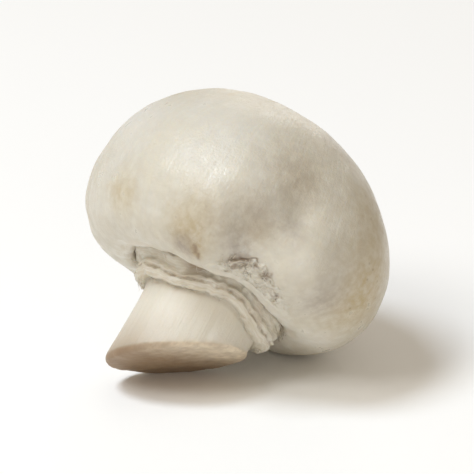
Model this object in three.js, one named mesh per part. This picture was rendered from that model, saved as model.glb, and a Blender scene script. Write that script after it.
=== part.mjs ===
// A white button mushroom, picked, cut at the foot and lying on its side.
//
// It is one growth: cap, stem and the torn veil round the stem are one body, and the brown gills under the
// cap are a second one, a different colour. Both are shaped upright, as they grew, in millimetres, with the
// stem's axis on z and the widest level of the cap at z = 0. Then the mushroom is tipped over until the cap's
// side and the lower edge of the foot touch the ground. Azimuths go round the axis, in degrees, from the side
// that it lies on.
import * as THREE from "three";
import { mergeVertices } from "three/addons/utils/BufferGeometryUtils.js";

// Cap
const CAP_RADIUS = 22; // at its widest level
const CAP_DOME = 18.2; // crown above the widest level
const DOME_FULLNESS = 2.15; // 2 is an ellipse, more gives rounder shoulders
const CROWN_LEAN = 0.0024; // sideways shift of the crown per squared millimetre of height
const CROWN_LEAN_AZIMUTH = 129;
const RIM_RADIUS = 14.4; // where the rolled rim is lowest
const RIM_DROP = 9.6; // how far that is below the widest level
const MARGIN_RADIUS = 11.6; // inner edge of the rolled rim, round the stem
const MARGIN_LEVEL = -8.6;

// Chamber over the veil, which holds the gills
const ROOF_LEVEL = -0.4; // highest level of the chamber
const CHAMBER_RADIUS = 17.9;
const STEM_TOP_RADIUS = 7.9; // stem inside the chamber

// Veil remnant: a collar on the stem, with a double ring where it tore off just inside the margin
const RING_RADIUS = 10.4;
const RING_TOP = -10.2;
const RING_BOTTOM = -12;
const RING_GROOVE = 0.4; // depth of the groove between its two ridges
const COLLAR_TOP = -5.7; // where the collar leaves the stem, inside the chamber

// Stem and foot
const STEM_RADIUS = 8.3;
const STEM_OFFSET = 0.6; // the stem stands this far off the cap's centre
const STEM_OFFSET_AZIMUTH = -51;
const FOOT_RADIUS = 8.5;
const FOOT_LEVEL = -19.8; // the cut, measured on the axis
const FOOT_CORNER = 0.6;
const CUT_SLOPE = 31; // the knife went through this far off square
const CUT_AZIMUTH = -54; // side on which the slanting cut leaves the stem shortest

// Gills
const GILL_COUNT = 44;
const GILL_DEPTH = 3.1;
const GILL_CLEARANCE = 0.35; // between the gills and the roof they hang from
const GILL_ROOT = 0.7; // thickness of the layer that joins them

// Pose on the ground
const TIP = 45.7; // the axis leans this far from upright
const HEADING = 49.4; // the crown points this way, from +X towards +Y
const PRESSED = 0.5; // the soft flesh is flattened this deep where it touches the ground

// Mesh density
const SEGMENTS = 72;
const GILL_ROOT_POINTS = 4;
const GILL_EDGE_POINTS = 5;

// Soft hollows and swellings of the cap: each has a height, a place on the cap and a spread, in millimetres.
const SWELLINGS = [
  { name: "pinch above the torn veil", azimuth: -122, level: -5, spread: 5.5, height: -1.1 },
  { name: "valley running up from the pinch", azimuth: -108, level: 4, spread: 6, height: -0.5 },
  { name: "lobe beside the pinch", azimuth: -92, level: -2, spread: 9, height: 0.7 },
  { name: "cheek on the other side", azimuth: -158, level: 1, spread: 8, height: 0.4 },
  { name: "flat shoulder", azimuth: -62, level: 12, spread: 9, height: -0.8 },
  { name: "full crown", azimuth: 140, level: 16, spread: 9, height: 0.4 },
  { name: "hollow at the back", azimuth: 62, level: 4, spread: 9, height: -0.6 },
  { name: "bulge at the back", azimuth: 105, level: 0, spread: 9, height: 0.5 },
];

// The ring didn't tear off level: each stretch rises or sags, and reaches further out or less. A higher focus
// makes a stretch narrower.
const TEARS = [
  { name: "torn high below the pinch", azimuth: -128, rise: 1, reach: 0, focus: 8 },
  { name: "sagging beside it", azimuth: -60, rise: -0.8, reach: 0.5, focus: 5 },
  { name: "worn short at the back", azimuth: 40, rise: 0.3, reach: -0.4, focus: 3 },
];

const radians = THREE.MathUtils.degToRad;
const point = (r, z) => new THREE.Vector2(r, z);

// Points of an ellipse's arc about (r, z), from one angle to another in degrees.
function arc(r, z, radiusR, radiusZ, from, to, steps) {
  const clockwise = to < from;
  const curve = new THREE.EllipseCurve(r, z, radiusR, radiusZ, radians(from), radians(to), clockwise);
  return curve.getPoints(steps);
}

// The chamber's roof, from the stem's top out to the inner side of the rolled rim.
function roofCurve() {
  return new THREE.SplineCurve([
    point(STEM_TOP_RADIUS, ROOF_LEVEL - 1.9),
    point(STEM_TOP_RADIUS + 1.2, ROOF_LEVEL - 0.4),
    point(12.4, ROOF_LEVEL),
    point(CHAMBER_RADIUS - 2.2, ROOF_LEVEL - 0.9),
    point(CHAMBER_RADIUS, ROOF_LEVEL - 3.9),
  ]);
}

function footOutline() {
  const edge = FOOT_RADIUS - FOOT_CORNER;
  const corner = arc(edge, FOOT_LEVEL + FOOT_CORNER, FOOT_CORNER, FOOT_CORNER, -90, 0, 2);
  return [point(0, FOOT_LEVEL), point(edge / 2, FOOT_LEVEL), ...corner];
}

function stemAndRingOutline() {
  const middle = (RING_TOP + RING_BOTTOM) / 2;
  return [
    point(STEM_RADIUS + 0.05, (FOOT_LEVEL + RING_BOTTOM) / 2 - 1),
    point(STEM_RADIUS, RING_BOTTOM - 1.6),
    point(STEM_RADIUS + 0.4, RING_BOTTOM - 0.3),
    point(RING_RADIUS - 0.6, RING_BOTTOM),
    point(RING_RADIUS - 0.1, (middle + RING_BOTTOM) / 2),
    point(RING_RADIUS - RING_GROOVE, middle),
    point(RING_RADIUS, (middle + RING_TOP) / 2),
    point(RING_RADIUS - 0.4, RING_TOP),
    point(RING_RADIUS - 1, RING_TOP + 0.6),
    point(RING_RADIUS - 1.4, RING_TOP + 2),
    point(STEM_TOP_RADIUS + 0.8, COLLAR_TOP - 0.8),
    point(STEM_TOP_RADIUS, COLLAR_TOP),
  ];
}

// Down the inner side of the rolled rim, from the roof to the margin, and round the margin's lip.
function marginOutline() {
  return [
    point(CHAMBER_RADIUS - 0.2, ROOF_LEVEL - 5.2),
    point(CHAMBER_RADIUS - 1.8, MARGIN_LEVEL + 2.1),
    point(RIM_RADIUS - 0.2, MARGIN_LEVEL + 1.4),
    point(MARGIN_RADIUS + 0.9, MARGIN_LEVEL + 0.9),
    point(MARGIN_RADIUS + 0.1, MARGIN_LEVEL + 0.4),
    point(MARGIN_RADIUS, MARGIN_LEVEL - 0.1),
    point(MARGIN_RADIUS + 0.4, MARGIN_LEVEL - 0.6),
    point(MARGIN_RADIUS + 1.3, -RIM_DROP + 0.1),
  ];
}

function capOutline() {
  const under = arc(RIM_RADIUS, 0, CAP_RADIUS - RIM_RADIUS, RIM_DROP, -90, 0, 7);
  const power = 2 / DOME_FULLNESS;
  const dome = [];
  const steps = 12;
  for (let i = 1; i <= steps; i++) {
    const angle = (i / steps) * (Math.PI / 2);
    const across = i === steps ? 0 : CAP_RADIUS * Math.cos(angle) ** power;
    dome.push(point(across, CAP_DOME * Math.sin(angle) ** power));
  }
  return [...under, ...dome];
}

// A point of the cap's outside at a level and azimuth, before its swellings.
function onCap(azimuth, level) {
  const share = level > 0 ? level / CAP_DOME : -level / RIM_DROP;
  const fullness = level > 0 ? DOME_FULLNESS : 2;
  const inner = level > 0 ? 0 : RIM_RADIUS;
  const r = inner + (CAP_RADIUS - inner) * (1 - share ** fullness) ** (1 / fullness);
  const angle = radians(azimuth);
  return new THREE.Vector3(r * Math.cos(angle), r * Math.sin(angle), level);
}

// 1 on the ring, fading to 0 at the foot and at the top of the collar.
function ringShare(level) {
  const fromFoot = THREE.MathUtils.smoothstep(level, FOOT_LEVEL, RING_BOTTOM);
  const fromCollar = THREE.MathUtils.smoothstep(level, RING_TOP, COLLAR_TOP);
  return fromFoot * (1 - fromCollar);
}

// How far the ring rises and how far it reaches out at an angle round the axis.
function tornBy(angle) {
  const torn = { rise: 0, reach: 0 };
  for (const tear of TEARS) {
    const share = Math.exp((Math.cos(angle - radians(tear.azimuth)) - 1) * tear.focus);
    torn.rise += tear.rise * share;
    torn.reach += tear.reach * share;
  }
  return torn;
}

// The ways in which the mushroom isn't round, applied alike to flesh and gills.
function growUneven(geometry) {
  const places = SWELLINGS.map((s) => onCap(s.azimuth, s.level));
  const lean = radians(CROWN_LEAN_AZIMUTH);
  const offset = radians(STEM_OFFSET_AZIMUTH);
  const cut = radians(CUT_AZIMUTH);
  const heart = new THREE.Vector3(0, 0, -2);
  const position = geometry.attributes.position;
  const grown = new THREE.Vector3();
  const outward = new THREE.Vector3();
  for (let i = 0; i < position.count; i++) {
    const p = new THREE.Vector3().fromBufferAttribute(position, i);
    grown.copy(p);
    outward.copy(p).sub(heart).normalize();
    SWELLINGS.forEach((s, k) => {
      const reach = p.distanceTo(places[k]) / s.spread;
      grown.addScaledVector(outward, s.height * Math.exp(-reach * reach));
    });

    const crown = CROWN_LEAN * Math.max(p.z, 0) ** 2;
    grown.x += crown * Math.cos(lean);
    grown.y += crown * Math.sin(lean);

    const radius = Math.hypot(p.x, p.y);
    if (radius < MARGIN_RADIUS - 0.5) {
      const down = THREE.MathUtils.smoothstep(-p.z, 1, -RING_TOP);
      grown.x += down * STEM_OFFSET * Math.cos(offset);
      grown.y += down * STEM_OFFSET * Math.sin(offset);
      const below = THREE.MathUtils.clamp((RING_BOTTOM - p.z) / (RING_BOTTOM - FOOT_LEVEL), 0, 1);
      const towardsCut = p.x * Math.cos(cut) + p.y * Math.sin(cut);
      grown.z += below * Math.tan(radians(CUT_SLOPE)) * towardsCut;
      const angle = Math.atan2(p.y, p.x);
      const torn = tornBy(angle);
      const share = ringShare(p.z);
      const ridge = share * THREE.MathUtils.clamp((radius - STEM_RADIUS) / (RING_RADIUS - STEM_RADIUS), 0, 1);
      grown.x += ridge * torn.reach * Math.cos(angle);
      grown.y += ridge * torn.reach * Math.sin(angle);
      grown.z += share * torn.rise;
    }
    position.setXYZ(i, grown.x, grown.y, grown.z);
  }
  return geometry;
}

// Keeps only the positions, so that vertices on a seam or at a pole become one.
function welded(geometry) {
  geometry.deleteAttribute("normal");
  geometry.deleteAttribute("uv");
  return mergeVertices(geometry, 1e-4);
}

// A lathe turns about y: this stands it on z.
function turned(outline, segments) {
  return new THREE.LatheGeometry(outline, segments).rotateX(Math.PI / 2);
}

function fleshGeometry() {
  const outline = [
    ...footOutline(),
    ...stemAndRingOutline(),
    ...roofCurve().getPoints(7),
    ...marginOutline(),
    ...capOutline(),
  ];
  return growUneven(welded(turned(outline, SEGMENTS)));
}

// The gills are one ring whose underside is raised into blades: four steps of the lathe to a gill, two on the
// blade's edge and two in the gap, with steep sides between them.
function gillGeometry() {
  const roof = roofCurve();
  const below = (share, depth) => {
    const tangent = roof.getTangentAt(share);
    const at = roof.getPointAt(share);
    return point(at.x + tangent.y * depth, at.y - tangent.x * depth);
  };
  const first = 0.1;
  const last = 0.94;
  const along = (i, count) => first + ((last - first) * i) / (count - 1);
  const roots = [];
  for (let i = 0; i < GILL_ROOT_POINTS; i++) {
    roots.push(below(along(i, GILL_ROOT_POINTS), GILL_CLEARANCE));
  }
  const gaps = [];
  const edges = [];
  for (let i = GILL_EDGE_POINTS - 1; i >= 0; i--) {
    const share = along(i, GILL_EDGE_POINTS);
    const taper = 0.35 + 0.65 * Math.sin((Math.PI * i) / (GILL_EDGE_POINTS - 1));
    gaps.push(below(share, GILL_CLEARANCE + GILL_ROOT * taper));
    edges.push(below(share, GILL_CLEARANCE + GILL_DEPTH * taper));
  }
  const outline = [...roots, ...edges, roots[0]].reverse();
  const gapOutline = [...roots, ...gaps, roots[0]].reverse();
  const geometry = turned(outline, GILL_COUNT * 4);
  const position = geometry.attributes.position;
  const pitch = (2 * Math.PI) / GILL_COUNT;
  const stepPlaces = [-0.2, 0.2, 0.3, 0.7]; // in pitches: the edge is 0.4 wide and the gap 0.4
  for (let step = 0; step <= GILL_COUNT * 4; step++) {
    const corner = step % 4;
    const angle = pitch * (Math.floor(step / 4) + stepPlaces[corner]);
    const used = corner < 2 ? outline : gapOutline;
    used.forEach((p, k) => {
      position.setXYZ(step * outline.length + k, p.x * Math.cos(angle), p.x * Math.sin(angle), p.y);
    });
  }
  return growUneven(welded(geometry));
}

// Tips the mushroom over and sets it down, centred, with its pressed flesh flat on z = 0.
function layDown(meshes) {
  const tipped = new THREE.Group();
  tipped.rotation.y = radians(TIP);
  tipped.add(...meshes);
  const mushroom = new THREE.Group();
  mushroom.rotation.z = radians(HEADING);
  mushroom.add(tipped);

  mushroom.updateMatrixWorld(true);
  const lowest = new THREE.Box3().setFromObject(mushroom, true).min.z;
  mushroom.position.z = -lowest - PRESSED;
  mushroom.updateMatrixWorld(true);
  const up = new THREE.Vector3(0, 0, 1);
  for (const mesh of meshes) {
    const ground = new THREE.Plane(up.clone(), 0).applyMatrix4(mesh.matrixWorld.clone().invert());
    const position = mesh.geometry.attributes.position;
    const p = new THREE.Vector3();
    for (let i = 0; i < position.count; i++) {
      p.fromBufferAttribute(position, i);
      if (ground.distanceToPoint(p) < 0) ground.projectPoint(p, p);
      position.setXYZ(i, p.x, p.y, p.z);
    }
  }
  const centre = new THREE.Box3().setFromObject(mushroom, true).getCenter(new THREE.Vector3());
  mushroom.position.x = -centre.x;
  mushroom.position.y = -centre.y;
  return mushroom;
}

function finish(geometry, name, colour, roughness) {
  geometry.computeVertexNormals();
  const material = new THREE.MeshStandardMaterial({ color: colour, roughness, metalness: 0 });
  const mesh = new THREE.Mesh(geometry, material);
  mesh.name = name;
  return mesh;
}

const flesh = finish(fleshGeometry(), "cap_and_stem", 0xe6dfcc, 0.7);
const gills = finish(gillGeometry(), "gills", 0x9a7555, 0.85);

const part = new THREE.Group();
part.add(layDown([flesh, gills]));

export default part;
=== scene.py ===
# %% [markdown]
# # A white button mushroom, cut and laid on its side
# A button mushroom is one growth: a domed cap rolled in at its rim, a short thick stem, the torn remnant of
# the veil that once closed the cap, and brown gills in the chamber under it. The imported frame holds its
# plain solids at their real size. This lesson dresses them: the flesh is spun from one outline and made
# uneven, the gills are set in one by one, loose threads of veil are added, and each finish is built from
# nodes.

# %% Load the frame and the tools
import math
import random

import bmesh
import bpy
import numpy as np
from mathutils import Matrix, Vector, geometry, noise


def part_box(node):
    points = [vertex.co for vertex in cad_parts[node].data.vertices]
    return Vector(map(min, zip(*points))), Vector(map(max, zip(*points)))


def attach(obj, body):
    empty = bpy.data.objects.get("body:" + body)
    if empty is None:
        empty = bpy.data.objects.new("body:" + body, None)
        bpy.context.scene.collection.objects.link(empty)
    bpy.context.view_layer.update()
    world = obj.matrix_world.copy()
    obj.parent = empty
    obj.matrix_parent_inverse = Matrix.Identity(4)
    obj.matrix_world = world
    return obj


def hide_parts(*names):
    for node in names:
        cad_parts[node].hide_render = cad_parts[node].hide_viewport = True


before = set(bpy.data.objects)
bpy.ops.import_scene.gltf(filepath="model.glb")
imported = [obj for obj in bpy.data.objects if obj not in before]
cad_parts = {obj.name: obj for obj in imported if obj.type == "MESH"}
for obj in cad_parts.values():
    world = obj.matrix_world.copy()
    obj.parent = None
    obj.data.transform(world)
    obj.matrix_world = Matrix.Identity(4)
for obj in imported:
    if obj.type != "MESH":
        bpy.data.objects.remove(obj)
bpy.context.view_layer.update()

# %% [markdown]
# ## Driving dimensions
# The mushroom is shaped upright, as it grew, in millimetres: its axis is z and the widest level of the cap
# is z = 0. Angles round the axis are in degrees, counted from the side it will lie on. The values are those
# of the solids in the frame, so that the finished skin falls on them. Only at the end is it tipped over,
# brought to metres and set down where the frame's solid lies.

# %% Driving dimensions, in millimetres and degrees
MM = 0.001
CAP_RADIUS = 22
CAP_DOME = 18.2
DOME_FULLNESS = 2.15
CROWN_LEAN = 0.0024
CROWN_LEAN_AZIMUTH = 129
RIM_RADIUS = 14.4
RIM_DROP = 9.6
MARGIN_RADIUS = 11.6
MARGIN_LEVEL = -8.6
ROOF_LEVEL = -0.4
CHAMBER_RADIUS = 17.9
STEM_TOP_RADIUS = 7.9
RING_RADIUS = 10.4
RING_TOP = -10.2
RING_BOTTOM = -12
RING_GROOVE = 0.35
VEIL_SLIT = 0.5
COLLAR_TOP = -5.7
STEM_RADIUS = 8.3
STEM_OFFSET = 0.6
STEM_OFFSET_AZIMUTH = -51
FOOT_RADIUS = 8.5
FOOT_LEVEL = -19.8
FOOT_CORNER = 0.9
CUT_SLOPE = 31
CUT_AZIMUTH = -54
TIP = 45.7
HEADING = 49.4

# %% [markdown]
# ## The outline
# A body that is round about an axis is easiest to make from half of its outline, spun round. The outline
# runs from the middle of the cut foot, up the stem, over the torn ring and the collar above it, round the
# hollow chamber, over the margin and up to the crown. It is given by few points, and a smooth line is led
# through them with short handles, so that it neither corners nor overshoots. Each stretch is labelled with
# what it is, because the finishes need to know later where the veil or the cut face lies.

# %% Lead a smooth line through a few points
SKIN_SPACING = 0.4
VEIL_SPACING = 0.18
CHAMBER_SPACING = 0.8
CORNER_SPACING = 0.16
UNDERSIDE_SPACING = 0.32
# the dome's outline is about this share of its radius and its height together
DOME_ARC_SHARE = 0.8


def glide(points, spacing):
    """Points about `spacing` apart on a smooth line through the given ones, without the last one."""
    knots = [Vector((r, 0, z)) for r, z in points]
    before, after = [knots[0]] + knots[:-1], knots[1:] + [knots[-1]]
    ways = [(b - a).normalized() for a, b in zip(before, after)]
    line = []
    for a, b, way_a, way_b in zip(knots, knots[1:], ways, ways[1:]):
        reach = (b - a).length / 3
        count = max(2, round((b - a).length / spacing) + 1)
        line += geometry.interpolate_bezier(a, a + way_a * reach, b - way_b * reach, b, count)[:-1]
    return line


def arc(r, z, across, high, start, end, spacing):
    """Points on an ellipse's arc about (r, z), between two angles in degrees, without the last one."""
    count = max(2, round(math.radians(abs(end - start)) * (across + high) / 2 / spacing))
    angles = [math.radians(start + (end - start) * i / count) for i in range(count)]
    return [Vector((r + across * math.cos(a), 0, z + high * math.sin(a))) for a in angles]


# %% The stretches of the outline, each with its label
def foot_line():
    edge = FOOT_RADIUS - FOOT_CORNER
    corner = arc(edge, FOOT_LEVEL + FOOT_CORNER, FOOT_CORNER, FOOT_CORNER, -90, 0, CORNER_SPACING)
    return glide([(0, FOOT_LEVEL), (edge, FOOT_LEVEL)], SKIN_SPACING) + corner


def stem_line():
    knots = [
        (FOOT_RADIUS, FOOT_LEVEL + FOOT_CORNER),
        (STEM_RADIUS + 0.05, (FOOT_LEVEL + RING_BOTTOM) / 2 - 1),
        (STEM_RADIUS, RING_BOTTOM - 1.6),
        (STEM_RADIUS + 0.1, RING_BOTTOM + 0.1),
    ]
    return glide(knots, SKIN_SPACING)


def veil_line():
    middle = (RING_TOP + RING_BOTTOM) / 2
    knots = [
        (STEM_RADIUS + 0.1, RING_BOTTOM + 0.1),
        (STEM_RADIUS + 0.5, RING_BOTTOM - 0.1),
        (RING_RADIUS - 0.9, RING_BOTTOM - 0.2),
        (RING_RADIUS - 0.2, (middle + RING_BOTTOM) / 2),
        (RING_RADIUS - RING_GROOVE, middle),
        (RING_RADIUS - 0.1, (middle + RING_TOP) / 2),
        (RING_RADIUS - 0.4, RING_TOP + 0.1),
        (RING_RADIUS - 0.1, RING_TOP + 0.5),
        (RING_RADIUS + 0.35, RING_TOP + 0.9),
        (MARGIN_RADIUS - VEIL_SLIT, MARGIN_LEVEL - 0.2),
        (MARGIN_RADIUS - VEIL_SLIT, MARGIN_LEVEL + 0.6),
        (MARGIN_RADIUS - VEIL_SLIT - 0.6, MARGIN_LEVEL + 1.4),
        (STEM_TOP_RADIUS + 1, COLLAR_TOP - 0.6),
        (STEM_TOP_RADIUS, COLLAR_TOP),
    ]
    return glide(knots, VEIL_SPACING)


ROOF_KNOTS = [
    (STEM_TOP_RADIUS, ROOF_LEVEL - 1.9),
    (STEM_TOP_RADIUS + 1.2, ROOF_LEVEL - 0.4),
    (12.4, ROOF_LEVEL),
    (CHAMBER_RADIUS - 2.2, ROOF_LEVEL - 0.9),
    (CHAMBER_RADIUS, ROOF_LEVEL - 3.9),
]


def chamber_line():
    inner_rim = [(CHAMBER_RADIUS - 0.2, ROOF_LEVEL - 5.2), (CHAMBER_RADIUS - 1.8, MARGIN_LEVEL + 2.1)]
    ending = [(RIM_RADIUS - 0.2, MARGIN_LEVEL + 1.4)]
    return glide([(STEM_TOP_RADIUS, COLLAR_TOP)] + ROOF_KNOTS + inner_rim + ending, CHAMBER_SPACING)


def margin_line():
    knots = [
        (RIM_RADIUS - 0.2, MARGIN_LEVEL + 1.4),
        (MARGIN_RADIUS + 0.9, MARGIN_LEVEL + 0.9),
        (MARGIN_RADIUS + 0.1, MARGIN_LEVEL + 0.4),
        (MARGIN_RADIUS, MARGIN_LEVEL - 0.1),
        (MARGIN_RADIUS + 0.4, MARGIN_LEVEL - 0.6),
        (MARGIN_RADIUS + 1.3, -RIM_DROP + 0.1),
        (RIM_RADIUS, -RIM_DROP),
    ]
    return glide(knots, VEIL_SPACING)


def cap_line():
    under = arc(RIM_RADIUS, 0, CAP_RADIUS - RIM_RADIUS, RIM_DROP, -90, 0, UNDERSIDE_SPACING)
    power = 2 / DOME_FULLNESS
    steps = round(DOME_ARC_SHARE * (CAP_RADIUS + CAP_DOME) / SKIN_SPACING)
    dome = []
    for i in range(steps + 1):
        angle = math.pi / 2 * i / steps
        across = 0 if i == steps else CAP_RADIUS * math.cos(angle) ** power
        dome.append(Vector((across, 0, CAP_DOME * math.sin(angle) ** power)))
    return under + dome


STRETCHES = {
    "cut": foot_line(),
    "stem": stem_line(),
    "veil": veil_line(),
    "chamber": chamber_line(),
    "margin": margin_line(),
    "skin": cap_line(),
}
print("outline points", {name: len(line) for name, line in STRETCHES.items()})

# %% [markdown]
# ## Spin the outline
# A label is a number carried by each vertex: 1 on its own stretch and 0 elsewhere, blurred a little so that
# one finish passes softly into the next. The labels are put on the outline before it is spun, because the
# spin copies them along with the vertices. `use_merge` closes the full turn, and the doubled vertices at
# the two poles are merged afterwards.

# %% Put the labels on the outline and spin it
SPIN_STEPS = 300
BLUR_ROUNDS = 3
WELD_DISTANCE = 1e-4


def blurred(values):
    """The values, each averaged with its neighbours a few times."""
    for _ in range(BLUR_ROUNDS):
        padded = np.pad(values, 1, mode="edge")
        values = (padded[:-2] + 2 * padded[1:-1] + padded[2:]) / 4
    return values


def spun_flesh():
    line = [place for stretch in STRETCHES.values() for place in stretch]
    owners = [name for name, stretch in STRETCHES.items() for _ in stretch]
    bm = bmesh.new()
    layers = [bm.verts.layers.float.new(name) for name in STRETCHES]
    shares = [blurred(np.array([float(owner == name) for owner in owners])) for name in STRETCHES]
    rows = [bm.verts.new(place) for place in line]
    for layer, share in zip(layers, shares):
        for vert, value in zip(rows, share):
            vert[layer] = value
    for a, b in zip(rows, rows[1:]):
        bm.edges.new((a, b))
    bmesh.ops.spin(
        bm, geom=bm.verts[:] + bm.edges[:], cent=(0, 0, 0), axis=(0, 0, 1),
        angle=math.tau, steps=SPIN_STEPS, use_merge=True,
    )
    bmesh.ops.remove_doubles(bm, verts=bm.verts[:], dist=WELD_DISTANCE)
    bmesh.ops.recalc_face_normals(bm, faces=bm.faces[:])
    return bm


flesh = spun_flesh()
print("spun flesh:", len(flesh.verts), "vertices,", len(flesh.faces), "faces")

# %% [markdown]
# ## Refine the torn place
# The veil tore off last on the side that faces the viewer, and left the margin rough there. Shreds and pits
# half a millimetre across need closer vertices than the smooth dome does, so only the faces of that place
# are divided.

# %% Divide the faces of the torn place
TORN_AZIMUTHS = (-164, -98)
TORN_LEVELS = (-9.65, -6.2)
TORN_RADIUS = 14.2
TORN_CUTS = 2


def in_torn_place(vert):
    azimuth = math.degrees(math.atan2(vert.co.y, vert.co.x))
    turned_there = TORN_AZIMUTHS[0] < azimuth < TORN_AZIMUTHS[1]
    level_there = TORN_LEVELS[0] < vert.co.z < TORN_LEVELS[1]
    return turned_there and level_there and math.hypot(vert.co.x, vert.co.y) > TORN_RADIUS


torn_edges = [e for e in flesh.edges if all(in_torn_place(v) for v in e.verts)]
bmesh.ops.subdivide_edges(flesh, edges=torn_edges, cuts=TORN_CUTS, use_grid_fill=True)
print("after refining:", len(flesh.verts), "vertices")

# %% [markdown]
# ## Grow it uneven
# Nothing that grew is quite round. The main swellings and hollows are the ones of the frame's solid. They
# are formulas on the vertices' places, worked out for all of them at once as arrays: a soft bump is a bell
# curve of the distance to a named place on the cap. The stem stands a little off centre, the knife went
# through it on a slant, and the ring tore off higher on one side.

# %% Arrays of places and labels
def places_of(bm):
    return np.array([v.co for v in bm.verts], float)


def labels_of(bm):
    return {name: np.array([v[bm.verts.layers.float[name]] for v in bm.verts]) for name in STRETCHES}


def put_back(bm, places):
    for vert, place in zip(bm.verts, places):
        vert.co = place


def around(azimuth):
    """The level way out from the axis at an azimuth."""
    return np.array([math.cos(math.radians(azimuth)), math.sin(math.radians(azimuth))])


def upright_place(azimuth, radius, level):
    return np.array([*(radius * around(azimuth)), level])


def from_axis(places, least=1e-6):
    """How far each place is from the axis, at least `least`, and the level way out to it."""
    radius = np.maximum(np.hypot(places[:, 0], places[:, 1]), least)
    return radius, places[:, :2] / radius[:, None]


# %% Soft falloffs
def smoothstep(low, high, values):
    """0 below low, 1 above high, soft between."""
    share = np.clip((values - low) / (high - low), 0, 1)
    return share * share * (3 - 2 * share)


def facing(way, azimuth, focus):
    """1 where the way out points to an azimuth, falling off round the axis; a high focus is narrow."""
    return np.exp((way @ around(azimuth) - 1) * focus)


def on_cap(azimuth, level):
    """The place on the cap's outside at an azimuth and a level, before it grew uneven."""
    if level > 0:
        radius = CAP_RADIUS * (1 - (level / CAP_DOME) ** DOME_FULLNESS) ** (1 / DOME_FULLNESS)
    else:
        radius = RIM_RADIUS + (CAP_RADIUS - RIM_RADIUS) * math.sqrt(1 - (level / RIM_DROP) ** 2)
    return upright_place(azimuth, radius, level)


def bell(distances, spread):
    """1 where the distance is nothing, falling off softly over `spread` millimetres."""
    return np.exp(-((distances / spread) ** 2))


def bells(places, named, centre_of=on_cap):
    """The sum of named bells, each given by the numbers of its centre, its spread and its height."""
    total = np.zeros(len(places))
    for *centre, spread, height in named.values():
        total += height * bell(np.linalg.norm(places - centre_of(*centre), axis=1), spread)
    return total


# %% The swellings, the leaning crown, the slanting cut and the torn ring
# name: azimuth, level, spread, height
SWELLINGS = {
    "pinch above the torn veil": (-122, -5, 5.5, -1.1),
    "valley running up from the pinch": (-108, 4, 6, -0.5),
    "lobe beside the pinch": (-92, -2, 9, 0.7),
    "cheek on the other side": (-158, 1, 8, 0.4),
    "flat shoulder": (-62, 12, 9, -0.8),
    "full crown": (140, 16, 9, 0.4),
    "hollow at the back": (62, 4, 9, -0.6),
    "bulge at the back": (105, 0, 9, 0.5),
}
# name: azimuth, rise, reach, focus
TEARS = {
    "torn high below the pinch": (-128, 1, 0.2, 8),
    "sagging beside it": (-60, -0.8, 0.5, 5),
    "worn short at the back": (40, 0.3, -0.4, 3),
    "kept close at the left": (140, 0.2, 0.4, 8),
}
# the middle of the flesh, how far below the widest level the stem's offset starts, and the middle of the slit
HEART = np.array([0, 0, -2])
OFFSET_START = 1
MID_SLIT = MARGIN_RADIUS - VEIL_SLIT / 2


def outward(places):
    """The way out of the flesh at each place: straight away from its heart."""
    away = places - HEART
    return away / np.linalg.norm(away, axis=1, keepdims=True)


def swollen(places):
    """How far each place moves for the swellings and the leaning crown."""
    move = outward(places) * bells(places, SWELLINGS)[:, None]
    crown = CROWN_LEAN * np.maximum(places[:, 2], 0) ** 2
    move[:, :2] += crown[:, None] * around(CROWN_LEAN_AZIMUTH)
    return move


def stem_offset(places):
    """How far the stem stands off centre at each level: not at all under the cap, in full at the ring."""
    share = smoothstep(OFFSET_START, -RING_TOP, -places[:, 2])
    return (STEM_OFFSET * share)[:, None] * around(STEM_OFFSET_AZIMUTH)


def stood_and_cut(places):
    """How far each place on the stem moves for its offset, the slanting cut and the torn ring."""
    move = np.zeros_like(places)
    radius, way = from_axis(places)
    level = places[:, 2]
    move[:, :2] += stem_offset(places)
    below = np.clip((RING_BOTTOM - level) / (RING_BOTTOM - FOOT_LEVEL), 0, 1)
    move[:, 2] += below * math.tan(math.radians(CUT_SLOPE)) * (places[:, :2] @ around(CUT_AZIMUTH))
    share = smoothstep(FOOT_LEVEL, RING_BOTTOM, level) * (1 - smoothstep(RING_TOP, COLLAR_TOP, level))
    ridge = share * np.clip((radius - STEM_RADIUS) / (RING_RADIUS - STEM_RADIUS), 0, 1)
    for azimuth, rise, reach, focus in TEARS.values():
        near = facing(way, azimuth, focus)
        move[:, 2] += share * rise * near
        move[:, :2] += (ridge * reach * near)[:, None] * way
    return move * (radius < MID_SLIT)[:, None]


# %% [markdown]
# ## Small unevenness
# Close up, the skin rolls gently, the stem has fibres along it, the ring is torn and pleated, and the knife
# left the foot rough. Blender's own noise gives one soft number for each place. Read in a stretched space
# it gives long fibres: the direction round the axis is multiplied up, and the level is hardly counted. The
# back of the cap grew against its neighbours, so it is a little more dented than the front.

# %% Noise, plain and drawn out along the axis
LEAST_SHARE = 0.001
STREAK_CORE = 0.5


def noise_at(places, share):
    """Blender's soft noise from -1 to 1 at each place, times its share; skipped where that is nothing."""
    values = np.zeros(len(places))
    for i in np.flatnonzero(share > LEAST_SHARE):
        values[i] = share[i] * noise.noise(Vector(places[i]))
    return values


def rolling(places, rolls, share):
    """The sum of soft noises, each given by its size and its height, times the share of each place."""
    return sum(noise_at(places / size, height * share) for size, height in rolls)


def streaked(places, streaks, labels):
    """The sum of noises drawn out along the axis, each on its own stretch of the outline."""
    _, way = from_axis(places, STREAK_CORE)
    total = np.zeros(len(places))
    for stretch, per_turn, length, height in streaks:
        drawn_out = np.column_stack([way * per_turn / math.tau, places[:, 2] / length])
        total += noise_at(drawn_out, height * labels[stretch])
    return total


# %% Small unevenness of skin, stem, veil and cut
SKIN_INSET = 0.1
BACK_AZIMUTH = 50
BACK_EDGES = (-0.2, 0.7)
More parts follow.
